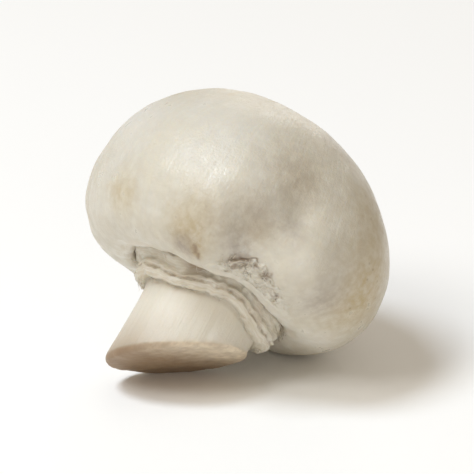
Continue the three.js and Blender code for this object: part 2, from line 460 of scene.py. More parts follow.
# size, height
SKIN_ROLLS = ((7, 0.28), (2.6, 0.07))
BACK_ROLLS = ((4.2, 0.26), (1.7, 0.05))
VEIL_ROLLS = ((1.1, 0.26), (0.5, 0.16))
CUT_ROLLS = ((3.2, 0.25), (0.9, 0.08))
# stretch of the outline, streaks per turn, length, height
SIDEWAYS_STREAKS = (
    ("margin", 24, 30, 0.3),
    ("margin", 90, 30, 0.25),
    ("veil", 9, 4, 0.4),
    ("veil", 13, 0.5, 0.34),
    ("veil", 60, 0.7, 0.24),
    ("stem", 15, 14, 0.2),
    ("stem", 38, 9, 0.07),
)
UPWARD_STREAKS = (
    ("veil", 8, 4, 0.4),
    ("veil", 30, 3, 0.26),
    ("veil", 80, 3, 0.16),
    ("margin", 26, 9, 0.34),
)


def small_unevenness(places, labels):
    """How far each place moves for the gentle rolling, the fibres and the pleats."""
    _, way = from_axis(places)
    skin = labels["skin"] + labels["margin"]
    behind = smoothstep(*BACK_EDGES, way @ around(BACK_AZIMUTH)) * skin
    rolls = rolling(places, SKIN_ROLLS, skin) + rolling(places, BACK_ROLLS, behind) - SKIN_INSET * skin
    move = outward(places) * rolls[:, None]
    sides = streaked(places, SIDEWAYS_STREAKS, labels) + rolling(places, VEIL_ROLLS, labels["veil"])
    move[:, :2] += way * sides[:, None]
    move[:, 2] += streaked(places, UPWARD_STREAKS, labels) + rolling(places, CUT_ROLLS, labels["cut"])
    return move


# %% The torn rim, and the upper veil
RIM_TEAR_START = 6.5
# name: azimuth, rise, focus
RIM_TEARS = {
    "pulled up where the veil tore last": (-126, 0.6, 24),
    "hanging lower beside it": (-152, -0.5, 30),
    "pulled up at the back": (75, 0.5, 20),
    "hanging lower at the back": (120, -0.3, 12),
}


def rim_torn_back(places):
    """The rim is pulled up a little where the veil tore last, and hangs lower beside it."""
    radius, way = from_axis(places)
    share = smoothstep(RIM_TEAR_START, RIM_DROP, -places[:, 2]) * (radius > MID_SLIT)
    move = np.zeros_like(places)
    for azimuth, rise, focus in RIM_TEARS.values():
        move[:, 2] += rise * share * facing(way, azimuth, focus)
    return move


def collar_kept_near_margin(places, labels):
    """The upper veil doesn't follow the stem's offset: it stays near the margin that it tore from."""
    radius, _ = from_axis(places)
    share = labels["veil"] * smoothstep(RING_TOP, MARGIN_LEVEL, places[:, 2])
    share *= smoothstep(STEM_TOP_RADIUS, MARGIN_RADIUS - VEIL_SLIT, radius)
    move = np.zeros_like(places)
    move[:, :2] = -share[:, None] * stem_offset(places)
    return move


# %% [markdown]
# ## Folds, and the torn veil on the margin
# A long trough runs up the cap from the place where the veil tore last, and parts a lobe from the rest.
# Below it a rag of veil still clings to the rim, a little proud of the skin, with creases along its edge
# that the finish darkens as bruises and as painted shade. All of these are strokes: short paths over the
# cap, each with a width and a height, where a negative height is a groove. The rag lies between its edge
# and the rim. Straight strokes would look carved, so the places are first shifted by noise, which makes
# every edge wander. Rag, creases and strands are also remembered as labels for the finish, and so are the
# scratches and nicks that the skin got when it was picked.

# %% Strokes over the cap
# name: path of (azimuth, level), width, height
FOLDS = {
    "cheek's edge": ([(-150, -5), (-150, -2), (-145, 1)], 3.4, 0.4),
    "trough": ([(-134, -7.5), (-138.5, -4), (-131, -1.8), (-125.5, 1)], 3.3, -1.55),
    "trough's end": ([(-124, 4), (-124.5, 7)], 3.6, -0.6),
    "lobe": ([(-114.5, -2), (-111, -5)], 3.6, 0.95),
    "hollow under the lobe": ([(-104, -8.8), (-92, -8.4), (-80, -6.6)], 3, -0.35),
    "valley at the back": ([(70, -5), (76, 2), (92, 7), (100, 11)], 2.6, -0.6),
    "ridge beside the valley": ([(96, -3), (104, 3), (116, 7)], 3, 0.3),
    "long dent at the back": ([(24, 1), (34, 6)], 3.2, -0.5),
    "dent near the far edge": ([(150, -2), (160, 3)], 3.4, -0.4),
    "shallow dent on the crown": ([(-30, 13.5), (0, 14.5)], 3, -0.35),
    "dent behind the crown": ([(120, 13), (140, 12)], 2, -0.25),
    "nick at the back": ([(47, -2), (53, 0.5)], 0.9, -0.22),
}
CREASES = {
    "upper crease": ([(-138, -8.3), (-135, -7.8), (-131.5, -7.3)], 0.5, -0.32),
    "upper crease's end": ([(-130.8, -6.9), (-127.8, -6.8)], 0.22, -0.2),
    "lower crease": ([(-137, -9.1), (-133.6, -8.65), (-131, -8.2)], 0.32, -0.24),
    "pit beside the strand": ([(-127.3, -7.3), (-127, -7.8)], 0.38, -0.32),
    "long pit": ([(-121.2, -7.7), (-121.8, -8.5)], 0.36, -0.32),
    "short pit": ([(-113, -8.9), (-110.5, -9.2)], 0.28, -0.16),
    "dent on the left margin": ([(-155, -8.5), (-154.2, -8.9)], 0.34, -0.1),
    "dent beside it": ([(-152.6, -8.9), (-152.2, -9.3)], 0.26, -0.08),
}
STRANDS = {
    "knot on the rim": ([(-140.3, -9.35), (-139, -9.25)], 0.4, 0.2),
    "fold between the creases": ([(-138.8, -8.95), (-134.4, -8.25), (-130.6, -7.7)], 0.2, 0.14),
    "first strand": ([(-129.9, -7.4), (-127.5, -8.4), (-125.5, -9.3)], 0.24, 0.12),
    "second strand": ([(-124.6, -7), (-124.2, -8), (-121, -9.35)], 0.26, 0.16),
    "third strand": ([(-119.6, -7.8), (-118.4, -8.6), (-116, -9.35)], 0.22, 0.1),
}
# name: path of (azimuth, level), width, share
SCRATCHES = {
    "long scratch at the back": ([(58, 6), (66, 8.6), (77, 10)], 0.5, 0.3),
    "short scratch beside it": ([(62, 4.8), (68, 6)], 0.45, 0.25),
    "rubbed line near the far edge": ([(128, 1), (134, 4.5)], 0.6, 0.3),
    "scratch on the crown": ([(-20, 11), (-8, 13.2)], 0.5, 0.35),
    "nicked edge": ([(47, -2), (53, 0.5)], 0.7, 0.5),
}
# the upper edge of the rag: points of (azimuth, level)
RAG_EDGE = [(-150, -9.7), (-141, -9), (-137, -8.4), (-133, -7.6), (-129, -6.9), (-124, -7), (-120, -7.8),
            (-114, -8.6), (-106, -9.1), (-96, -9.4), (-80, -9.7)]
RAG_LIFT = 0.2
RAG_SOFT_EDGE = (-0.25, 0.15)
# size, height
RAG_CRUMPLE = ((0.9, 0.24), (0.42, 0.15))
SCRATCH_DEPTH = 0.15


# %% How strokes lie on the cap
def distance_to_path(places, path):
    """How far each place is from a path of points, in a straight line."""
    nearest = np.full(len(places), np.inf)
    for a, b in zip(path, path[1:]):
        along = b - a
        share = np.clip((places - a) @ along / (along @ along), 0, 1)
        gap = np.linalg.norm(places - a - share[:, None] * along, axis=1)
        nearest = np.minimum(nearest, gap)
    return nearest


def stroked(places, strokes):
    """The height that a set of strokes gives each place, and the share of the strongest stroke there."""
    height = np.zeros(len(places))
    strongest = np.zeros(len(places))
    for path, width, rise in strokes.values():
        points = [on_cap(*spot) for spot in path]
        share = bell(distance_to_path(places, points), width)
        height += rise * share
        strongest = np.maximum(strongest, share)
    return height, strongest


# %% Let the edges wander
# name: azimuth, level, spread, share
WANDERING_PLACES = {
    "round the creases": (-128, -8, 7, 1),
    "round the thin end of the rag": (-108, -9, 5, 1),
}
WANDER = 0.5
TORN_WANDER_SIZE = 0.8
TORN_WANDER_STEP = 31.7
LINE_WANDER_SIZE = 1.6
LINE_WANDER_STEP = 17.3


def wandered(places, size, step, share):
    """The places, shifted by noise: it is read three times, a step apart, for the three directions."""
    shifts = [noise_at((places + step * axis) / size, WANDER * share) for axis in range(3)]
    return places + np.column_stack(shifts)


# %% The rag of veil
def rag_share(places):
    """1 on the rag of veil, between its edge and the rim, and 0 on the skin above it."""
    azimuths = np.degrees(np.arctan2(places[:, 1], places[:, 0]))
    edge = np.interp(azimuths, *zip(*RAG_EDGE))
    return smoothstep(*RAG_SOFT_EDGE, edge - places[:, 2])


# %% [markdown]
# ## Shape the flesh
# All moves are worked out from the same upright places and then added up, so that their order doesn't
# matter. The upright places are kept on the vertices too, as the attribute `grown`, in millimetres: the
# finishes read it, and so fibres run along the stem even though the mushroom lies tilted.

# %% Add the moves up and keep the upright places
places = places_of(flesh)
labels = labels_of(flesh)
outside = labels["skin"] + labels["margin"]
wander = wandered(places, TORN_WANDER_SIZE, TORN_WANDER_STEP, bells(places, WANDERING_PLACES))
line_wander = wandered(places, LINE_WANDER_SIZE, LINE_WANDER_STEP, np.ones(len(places)))
folds, _ = stroked(places, FOLDS)
creases, pits = stroked(wander, CREASES)
strands, cotton = stroked(wander, STRANDS)
scratches, _ = stroked(line_wander, SCRATCHES)
rag = rag_share(wander) * outside

relief = (folds + creases + strands - SCRATCH_DEPTH * scratches) * outside
relief += RAG_LIFT * rag + rolling(places, RAG_CRUMPLE, rag)
grown = places + swollen(places) + stood_and_cut(places) + small_unevenness(places, labels)
grown += collar_kept_near_margin(places, labels) + rim_torn_back(places)
grown += outward(places) * relief[:, None]


def remember_places(bm, places):
    """Keeps upright places on the vertices, as the attribute `grown`."""
    layer = bm.verts.layers.float_vector.new("grown")
    for vert, place in zip(bm.verts, places):
        vert[layer] = place


remember_places(flesh, places)
put_back(flesh, grown)
print("shaped:", np.round(grown.min(0), 1), np.round(grown.max(0), 1))

# %% [markdown]
# ## Mark the stained and shaded places
# A mushroom bruises tan where it was pressed and gets dirty in places. Beside these, painted shade darkens
# its trough, its creases, the recess under its margin and its shaded sides, and painted light makes the top
# of the lobe and the underside at the right paler. Painting them by hand would be quick, but it can't be
# repeated, so each is a soft spot at a named place. The spots are summed into shares on the vertices, which
# the finish reads later: one for stains and painted shade, one for painted grey shade and dirt, and `pale`
# for paler skin and painted light, and beside them the `cotton` of the torn veil and the `pit` of the
# creases, which is coloured as bruises and as painted shade.

# %% Where the stains, the painted shade and the painted light lie
# tan at the left margin, in the trough, at the head of the trough and on the right side is painted shade; the
# blots, dirt, bruises, spots, smears and the other places are stains and warm tones of the skin
# name: azimuth, level, spread, share
STAINS_AND_SHADE = {
    "tan at the left margin": (-158, -6.8, 4.5, 0.55),
    "blot on the left margin": (-155, -8.6, 0.9, 0.7),
    "blot beside it": (-152.6, -9.1, 0.6, 0.7),
    "dirt before it": (-160, -8.4, 2, 0.5),
    "in the trough": (-137.5, -3.4, 3, 0.4),
    "head of the trough": (-131, 6, 4.5, 0.25),
    "low on the right side": (-83, -3, 6, 0.4),
    "right side": (-79, 1.5, 9, 0.5),
    "up the right side": (-95, 9, 5, 0.3),
    "behind the crown": (20, 12, 7, 0.35),
    "back of the rim": (60, -7, 7, 0.6),
    "warm lower back": (118, -4, 9, 0.4),
    "warm side": (10, -2, 8, 0.3),
    "smear at the back": (88, 5, 4, 0.35),
    "bruise at the back": (36, 3.6, 1.9, 0.5),
    "spot in the valley": (100, 9, 1.3, 0.6),
    "small spot beside it": (111, 6, 0.9, 0.5),
    "bruise by the crown": (150, 12, 1.5, 0.5),
    "spot on the crown": (-5, 15.5, 1.6, 0.4),
    "far side of the rim": (165, -6, 3.5, 0.5),
}
# painted grey shade in the trough, under the lobe and the cheek, round the creases and the pits and at the
# upper right; the dirt on the left margin is dirt
SHADE_AND_DIRT_PLACES = {
    "in the trough": (-139, -2, 3, 0.4),
    "foot of the trough": (-139, -6.4, 2.6, 0.45),
    "head of the trough": (-132, 6, 4, 0.35),
    "flank of the lobe": (-124.5, -1, 2.4, 0.4),
    "under the lobe": (-97, -6, 3.4, 0.5),
    "dirt on the left margin": (-160, -8.8, 1.9, 0.85),
    "upper right": (-122, 15, 4, 0.2),
    "round the creases": (-134, -8, 1.6, 0.6),
    "round the pits": (-124, -7.9, 1.4, 0.4),
    "under the cheek": (-154, -5.5, 3, 0.2),
}
# painted light on the underside at the right and on the top of the lobe; the other places are paler skin
PALE_AND_PAINTED_LIGHT_PLACES = {
    "underside at the right": (-68, -9.2, 4, 0.6),
    "top of the lobe": (-114, -4, 2.6, 0.3),
    "crown": (-170, 9, 5, 0.3),
    "floor of the valley": (76, 1, 2.2, 0.7),
    "higher in the valley": (90, 6, 2, 0.6),
    "back": (150, 5, 6, 0.5),
    "beside the long dent": (5, 5, 5, 0.4),
}
# painted brown shade in the recess between the ring and the margin
# name: azimuth, radius, level, spread, share
VEIL_RECESS_SHADE = {
    "in the recess at the left": (-159, 11, -8.9, 1.7, 1.2),
    "in the recess at the right": (-100, 10.9, -9.1, 2, 0.35),
    "under the back": (80, 10.5, -9.5, 4, 0.5),
}


# %% Put the marks on the vertices
RAG_COTTON = 0.8

veil_recess_shade = bells(places, VEIL_RECESS_SHADE, centre_of=upright_place) * labels["veil"]
marks = {
    "cotton": np.maximum(cotton, RAG_COTTON * rag) * outside,
    # the creases' pits are coloured brown, as bruises and as painted shade
    "pit": pits * outside,
    "stain_and_shade": (bells(places, STAINS_AND_SHADE) + scratches) * outside + veil_recess_shade,
    "painted_shade_and_dirt": bells(places, SHADE_AND_DIRT_PLACES) * outside,
    "pale": bells(places, PALE_AND_PAINTED_LIGHT_PLACES) * outside,
}
for name, values in marks.items():
    layer = flesh.verts.layers.float.new(name)
    for vert, value in zip(flesh.verts, values):
        vert[layer] = value
print("strongest marks", {name: round(float(values.max()), 2) for name, values in marks.items()})

# %% [markdown]
# ## Lay it down where the frame's solid lies
# The mushroom is tipped over, turned and brought to metres. Its place comes from the frame: the middle of
# its box in x and y, and its top. What then reaches below the ground is the soft flesh that is pressed
# flat, so it is moved straight up to the ground.

# %% Tip, turn and set down
TURNED = Matrix.Rotation(math.radians(HEADING), 4, "Z") @ Matrix.Rotation(math.radians(TIP), 4, "Y")
LAY_DOWN = Matrix.Scale(MM, 4) @ TURNED


def set_down(bm):
    """Lays the flesh down, and gives the place where its heart comes to lie."""
    bmesh.ops.transform(bm, matrix=LAY_DOWN, verts=bm.verts[:])
    laid = places_of(bm)
    low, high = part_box("cap_and_stem")
    middle = (np.array(low) + np.array(high)) / 2
    shift = Vector((*(middle - (laid.min(0) + laid.max(0)) / 2)[:2], high.z - laid[:, 2].max()))
    bmesh.ops.translate(bm, vec=shift, verts=bm.verts[:])
    put_back(bm, np.clip(places_of(bm), np.array(low), np.array(high)))
    return shift


heart_place = set_down(flesh)
print("heart lies at, in mm", [round(1000 * c, 2) for c in heart_place])


def lay_with_flesh(bm):
    """Lays another upright piece down with the flesh."""
    bmesh.ops.transform(bm, matrix=LAY_DOWN, verts=bm.verts[:])
    bmesh.ops.translate(bm, vec=heart_place, verts=bm.verts[:])


# %% Make an object of a bmesh
def new_object(bm, name, finish, smooth=False):
    """A new object at the origin with the bmesh's shape and one finish."""
    mesh = bpy.data.meshes.new(name)
    bm.to_mesh(mesh)
    bm.free()
    for polygon in mesh.polygons:
        polygon.use_smooth = smooth
    mesh.materials.append(finish)
    made = bpy.data.objects.new(name, mesh)
    bpy.context.scene.collection.objects.link(made)
    print(name, "has", len(mesh.vertices), "vertices,", len(mesh.polygons), "faces")
    return made


# %% [markdown]
# ## Shared effects as node groups
# Three effects make up the finishes: soft patches of tone, fibres drawn out along the axis, and small flecks.
# Flesh and gills both have patches, and skin, stem and veil have fibres of their own length each. So every
# effect is built once, as a node group with named inputs and outputs, and is placed with its own values.

# %% A short way to write nodes
def new_group(name, inputs, outputs):
    """A shader node group: each input has a starting number, or None where it takes a place."""
    group = bpy.data.node_groups.new(name, "ShaderNodeTree")
    for label, value in inputs.items():
        kind = "NodeSocketVector" if value is None else "NodeSocketFloat"
        socket = group.interface.new_socket(label, in_out="INPUT", socket_type=kind)
        if value is not None:
            socket.default_value = value
    for label in outputs:
        group.interface.new_socket(label, in_out="OUTPUT", socket_type="NodeSocketFloat")
    return group, group.nodes.new("NodeGroupInput"), group.nodes.new("NodeGroupOutput")


def feed(tree, socket, value):
    """Links another node's output to a socket, or sets a plain value on it."""
    if isinstance(value, bpy.types.NodeSocket):
        tree.links.new(value, socket)
    else:
        socket.default_value = value


def fill(tree, node, **inputs):
    """Feeds a node's inputs: by name, with _ for a space, or by number, as i0, i1 and so on."""
    for key, value in inputs.items():
        index = int(key[1:]) if key[1:].isdigit() else key.replace("_", " ")
        feed(tree, node.inputs[index], value)


def add(tree, kind, settings=(), **inputs):
    """A node with its settings and its inputs."""
    node = tree.nodes.new(kind)
    for key, value in dict(settings).items():
        setattr(node, key, value)
    fill(tree, node, **inputs)
    return node


def math_node(tree, operation, a, b=0.0, c=0.0, clamp=False):
    settings = {"operation": operation, "use_clamp": clamp}
    return add(tree, "ShaderNodeMath", settings, i0=a, i1=b, i2=c).outputs[0]


def times(tree, a, b, clamp=False):
    return math_node(tree, "MULTIPLY", a, b, clamp=clamp)


# %% Noise, ramps, blends and sums
def noise_field(tree, place, scale, detail, roughness=0.5):
    node = add(tree, "ShaderNodeTexNoise", Vector=place, Scale=scale, Detail=detail, Roughness=roughness)
    return node.outputs["Fac"]


def ramp(tree, value, low, high):
    """0 below low, 1 above high, soft between."""
    settings = {"interpolation_type": "SMOOTHSTEP"}
    node = add(tree, "ShaderNodeMapRange", settings, Value=value, From_Min=low, From_Max=high)
    return node.outputs["Result"]


def lifted(tree, value, span, least):
    """A value from 0 to 1, brought to the span above a least value."""
    return math_node(tree, "MULTIPLY_ADD", value, span, least)


def blend_value(tree, share, a, b):
    node = add(tree, "ShaderNodeMix", i0=share, i2=a, i3=b)
    return node.outputs[0]


def blend_colour(tree, share, a, b):
    node = add(tree, "ShaderNodeMix", {"data_type": "RGBA"}, i0=share, i6=a, i7=b)
    return node.outputs[2]


def coated(tree, colour, coats):
    """A colour under some coats, one over the other, each given by its mask, its strength and its colour."""
    for mask, strength, coat in coats:
        share = mask if strength == 1 else times(tree, mask, strength)
        colour = blend_colour(tree, share, colour, coat)
    return colour


def sum_of(tree, shares):
    """The sum of some outputs, each times its share."""
    total = 0.0
    for output, share in shares.items():
        total = math_node(tree, "MULTIPLY_ADD", output, share, total)
    return total


def seen(red, green, blue):
    """A colour as it is seen on a screen, 0 to 255, turned into the linear one that the renderer uses."""
    def linear(value):
        share = value / 255
        return share / 12.92 if share <= 0.04045 else ((share + 0.055) / 1.055) ** 2.4
    return (linear(red), linear(green), linear(blue), 1)


# %% Soft patches of tone
# where the noise becomes a patch, how far the share moves that, and how steep the patch's edge is
PATCH_EDGE = 0.85
PATCH_SPAN = 0.7
PATCH_STEEPNESS = 3.0


def patches_group():
    group, given, put = new_group("soft patches", {"Place": None, "Size": 6.0, "Share": 0.5}, ["Mask"])
    scale = math_node(group, "DIVIDE", 1.0, given.outputs["Size"])
    field = noise_field(group, given.outputs["Place"], scale, detail=3.0, roughness=0.55)
    low = times(group, math_node(group, "SUBTRACT", PATCH_EDGE, given.outputs["Share"]), PATCH_SPAN)
    above = math_node(group, "SUBTRACT", field, low)
    fill(group, put, Mask=times(group, above, PATCH_STEEPNESS, clamp=True))
    return group


# %% Fibres drawn out along the axis
FIBRE_EDGES = (0.42, 0.62)


def fibres_group():
    inputs = {"Grown": None, "Per turn": 120.0, "Length": 6.0}
    group, given, put = new_group("fibres along the axis", inputs, ["Height", "Mask"])
    apart = add(group, "ShaderNodeSeparateXYZ", Vector=given.outputs["Grown"])
    flat = add(group, "ShaderNodeCombineXYZ", X=apart.outputs["X"], Y=apart.outputs["Y"])
    way = add(group, "ShaderNodeVectorMath", {"operation": "NORMALIZE"}, i0=flat.outputs[0])
    turn = math_node(group, "DIVIDE", given.outputs["Per turn"], math.tau)
    wide = add(group, "ShaderNodeVectorMath", {"operation": "SCALE"}, i0=way.outputs[0], Scale=turn)
    level = math_node(group, "DIVIDE", apart.outputs["Z"], given.outputs["Length"])
    high = add(group, "ShaderNodeCombineXYZ", Z=level)
    spot = add(group, "ShaderNodeVectorMath", {"operation": "ADD"}, i0=wide.outputs[0], i1=high.outputs[0])
    field = noise_field(group, spot.outputs[0], scale=1.0, detail=4.0, roughness=0.6)
    fill(group, put, Height=field, Mask=ramp(group, field, *FIBRE_EDGES))
    return group


# %% Small flecks
FLECK_STEEPNESS = 8.0


def flecks_group():
    inputs = {"Place": None, "Spacing": 2.0, "Size": 0.2, "Kept": 0.3}
    group, given, put = new_group("small flecks", inputs, ["Mask"])
    scale = math_node(group, "DIVIDE", 1.0, given.outputs["Spacing"])
    cells = add(group, "ShaderNodeTexVoronoi", Vector=given.outputs["Place"], Scale=scale)
    spot = math_node(group, "SUBTRACT", given.outputs["Size"], cells.outputs["Distance"])
    spot = times(group, spot, FLECK_STEEPNESS, clamp=True)
    chosen = add(group, "ShaderNodeSeparateColor", Color=cells.outputs["Color"])
    kept = math_node(group, "LESS_THAN", chosen.outputs[0], given.outputs["Kept"])
    fill(group, put, Mask=times(group, spot, kept))
    return group


patches = patches_group()
fibres = fibres_group()
flecks = flecks_group()
print("node groups:", [g.name for g in (patches, fibres, flecks)])


def use(tree, group, **inputs):
    """A node group placed in a material, with its own values."""
    return add(tree, "ShaderNodeGroup", {"node_tree": group}, **inputs)


# %% [markdown]
# ## The flesh's finish
# One material covers the whole body, because it is one growth: the labels tell it where to be skin, stem,
# veil or cut. The skin is cream with faint ochre and grey patches, and tan where it bruised or got dirty;
# painted shade makes it tan or grey in the trough, under the lobe, round the creases and on its shaded
# sides, and painted light makes the top of the lobe and the underside at the right paler. The stem is
# brown under the ring with painted shade and grime. The veil is whiter, with painted brown shade in its
# groove and its recess, and the cut foot is brown, darker towards one side. Mixing all of it by hand makes
# a tangle of nodes, so each colour is laid on in coats, as paint would be: a mask, a strength and a
# colour. Light enters the flesh a little, so it has some subsurface scattering, and its gloss is low and
# broad.

# %% The colours of the flesh, as they are seen on a screen
CREAM = seen(216, 213, 203)
PALE = seen(229, 226, 218)
OCHRE = seen(210, 198, 168)
GREY = seen(192, 187, 178)
TAN = seen(183, 164, 124)
CROWN_TAN = seen(203, 188, 158)
SHADE_AND_DIRT_GREY = seen(160, 148, 136)
VEIL_WHITE = seen(221, 216, 204)
VEIL_SHADE_BROWN = seen(139, 112, 82)
STEM_IVORY = seen(223, 218, 206)
STEM_TAN = seen(201, 190, 168)
CUT_PALE = seen(232, 217, 192)
CUT_BROWN = seen(158, 134, 107)
CUT_DARK = seen(122, 99, 76)
BRUISE_AND_SHADE_BROWN = seen(128, 103, 79)
CHAMBER_PINK = seen(181, 152, 124)


# %% Short ways to write materials
def new_material(name):
    material = bpy.data.materials.new(name)
    material.use_nodes = True
    return material, material.node_tree, material.node_tree.nodes["Principled BSDF"]


def attribute(tree, name, output="Fac"):
    node = add(tree, "ShaderNodeAttribute", {"attribute_type": "GEOMETRY", "attribute_name": name})
    return node.outputs[output]


# %% The patterns that the flesh's finish is made of
MOTTLE_EDGES = (0.34, 0.68)

flesh_finish, tree, surface = new_material("mushroom flesh")
grown_place = attribute(tree, "grown", "Vector")
level = add(tree, "ShaderNodeSeparateXYZ", Vector=grown_place).outputs["Z"]
broad = use(tree, patches, Place=grown_place, Size=9.0, Share=0.5).outputs["Mask"]
fine = use(tree, patches, Place=grown_place, Size=2.2, Share=0.45).outputs["Mask"]
specks = use(tree, flecks, Place=grown_place, Spacing=1.3, Size=0.2, Kept=0.2).outputs["Mask"]
cap_fibres = use(tree, fibres, Grown=grown_place, Per_turn=260.0, Length=7.0)
stem_fibres = use(tree, fibres, Grown=grown_place, Per_turn=70.0, Length=9.0)
layers_of_veil = use(tree, fibres, Grown=grown_place, Per_turn=26.0, Length=0.16)
mottle = noise_field(tree, grown_place, scale=0.9, detail=6.0, roughness=0.65)
mottled = ramp(tree, mottle, *MOTTLE_EDGES)
print("patterns made, with", len(tree.nodes), "nodes")

# %% The skin's colour
CROWN_LEVELS = (9, 17.5)
RIM_LEVELS = (-3, -9)
RIM_STAIN = 0.15
FLAKE_EDGES = (0.52, 0.6)

near_rim = times(tree, ramp(tree, level, *RIM_LEVELS), RIM_STAIN)
flaky = times(tree, ramp(tree, mottle, *FLAKE_EDGES), cap_fibres.outputs["Mask"])
near_crown = times(tree, ramp(tree, level, *CROWN_LEVELS), lifted(tree, flaky, span=0.6, least=0.25))
broken = lifted(tree, mottled, span=0.5, least=lifted(tree, fine, span=0.3, least=0.55))
stain_and_shade_share = math_node(tree, "MAXIMUM", attribute(tree, "stain_and_shade"), near_rim)
stain_and_shade_share = times(tree, stain_and_shade_share, broken, clamp=True)
# tan is laid on for stains and painted shade, dusk for painted grey shade and dirt, and pale for paler skin
# and painted light
skin = coated(tree, CREAM, [
    (broad, 0.35, OCHRE),
    (fine, 0.3, GREY),
    (cap_fibres.outputs["Mask"], 0.14, OCHRE),
    (mottled, 0.14, GREY),
    (near_crown, 1, CROWN_TAN),
    (attribute(tree, "pale"), 1, PALE),
    (stain_and_shade_share, 1, TAN),
    (times(tree, attribute(tree, "painted_shade_and_dirt"), broken), 1, SHADE_AND_DIRT_GREY),
    (times(tree, specks, stain_and_shade_share), 0.5, BRUISE_AND_SHADE_BROWN),
])
print("with the skin's colour:", len(tree.nodes), "nodes")

# %% The colours of the stem and the cut foot
# the stem goes brown towards the foot on one side, and the cut face is darker towards that side
DARKER_SIDE = (0.1, 1, 0)
DARKER_SIDE_EDGES = (-7.8, 1.6)
LOW_STEM_LEVELS = (-14.5, FOOT_LEVEL)
SHADE_AND_GRIME_UNDER_RING_LEVELS = (RING_BOTTOM - 1, RING_BOTTOM - 0.2)

side = add(tree, "ShaderNodeVectorMath", {"operation": "DOT_PRODUCT"}, i0=grown_place, i1=DARKER_SIDE)
darker_side_share = ramp(tree, side.outputs["Value"], *DARKER_SIDE_EDGES)
stem = coated(tree, STEM_IVORY, [
    (stem_fibres.outputs["Mask"], 0.16, STEM_TAN),
    (broad, 0.3, STEM_TAN),
    (times(tree, ramp(tree, level, *LOW_STEM_LEVELS), darker_side_share), 0.6, CUT_BROWN),
    # a brown band under the ring's lip: painted shade and grime
    (ramp(tree, level, *SHADE_AND_GRIME_UNDER_RING_LEVELS), 0.4, CUT_BROWN),
])
cut = coated(tree, CUT_PALE, [
    (darker_side_share, 1, CUT_BROWN),
    (fine, 0.3, CUT_DARK),
    (mottled, 0.22, CUT_DARK),
])
print("with stem and foot:", len(tree.nodes), "nodes")

# %% The veil's colours: the margin's lip, and the ring with painted shade in its groove and its recess
GROOVE_LEVEL = (RING_TOP + RING_BOTTOM) / 2 - 0.1
GROOVE_EDGES = (0.4, 0.05)
RECESS_LEVELS = (MARGIN_LEVEL - 0.5, MARGIN_LEVEL + 0.2)

veil = coated(tree, VEIL_WHITE, [
    (fine, 0.3, STEM_TAN),
    (layers_of_veil.outputs["Mask"], 0.3, TAN),
])
from_groove = math_node(tree, "ABSOLUTE", math_node(tree, "SUBTRACT", level, GROOVE_LEVEL))
# the groove, the recess under the margin and the recess spots are darkened with painted brown shade
inner_veil = coated(tree, veil, [
    (times(tree, ramp(tree, from_groove, *GROOVE_EDGES), mottled), 0.55, VEIL_SHADE_BROWN),
    (attribute(tree, "stain_and_shade"), 0.8, VEIL_SHADE_BROWN),
    (ramp(tree, level, *RECESS_LEVELS), 1, VEIL_SHADE_BROWN),
])
print("with the veil:", len(tree.nodes), "nodes")

# %% Each colour on its own stretch
colour = coated(tree, skin, [
    (attribute(tree, "chamber"), 1, CHAMBER_PINK),
    (attribute(tree, "stem"), 1, stem),
    (attribute(tree, "veil"), 1, inner_veil),
    (attribute(tree, "margin"), 1, veil),
    (attribute(tree, "cut"), 1, cut),
    (attribute(tree, "cotton"), 0.6, VEIL_WHITE),
    # the pits of the creases: brown bruises and painted shade in them
    (attribute(tree, "pit"), 0.65, BRUISE_AND_SHADE_BROWN),
])
print("with all stretches:", len(tree.nodes), "nodes")

# %% The flesh's gloss and its fine relief
SKIN_ROUGHNESS = (0.26, 0.36)
STEM_ROUGHNESS = 0.52
VEIL_ROUGHNESS = 0.8

least, most = SKIN_ROUGHNESS
cottony = math_node(tree, "ADD", attribute(tree, "veil"), attribute(tree, "cotton"), clamp=True)
fibrous = math_node(tree, "MAXIMUM", attribute(tree, "stem"), attribute(tree, "cut"))
rough = add(tree, "ShaderNodeMapRange", Value=fine, To_Min=least, To_Max=most).outputs["Result"]
rough = blend_value(tree, fibrous, rough, STEM_ROUGHNESS)
rough = blend_value(tree, cottony, rough, VEIL_ROUGHNESS)

grain = noise_field(tree, grown_place, scale=2.6, detail=5.0, roughness=0.6)
wool = noise_field(tree, grown_place, scale=5.0, detail=6.0, roughness=0.7)
cap_relief = cap_fibres.outputs["Height"]
on_skin = sum_of(tree, {cap_relief: 0.7, grain: 0.8, mottle: 0.8})
on_stem = sum_of(tree, {stem_fibres.outputs["Height"]: 1.2, cap_relief: 0.7, grain: 0.6})
on_veil = sum_of(tree, {layers_of_veil.outputs["Height"]: 1.6, cap_relief: 0.9, wool: 2.2})
height = blend_value(tree, cottony, blend_value(tree, fibrous, on_skin, on_stem), on_veil)
bump = add(tree, "ShaderNodeBump", Strength=0.3, Distance=0.0003, Height=height)

# %% Put the finish together and make the piece
fill(tree, surface, Base_Color=colour, Roughness=rough, Normal=bump.outputs["Normal"])
fill(tree, surface, Subsurface_Weight=0.25, Subsurface_Radius=(1.0, 0.7, 0.45), Subsurface_Scale=0.0012)
fill(tree, surface, Specular_IOR_Level=0.5)
print("whole finish:", len(tree.nodes), "nodes")

mushroom_flesh = new_object(flesh, "mushroom_flesh", flesh_finish, smooth=True)
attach(mushroom_flesh, "root")
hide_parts("cap_and_stem")

# %% [markdown]
# ## The gills
# Under the cap hang some two hundred thin blades, in tiers: long ones from stem to rim, and shorter ones
# between them at the rim. Each blade is a thin leaf with its root sunk in the chamber's roof. One could
# spin a single blade, but then all would be alike, so a loop makes each with its own length, depth and
# lean.

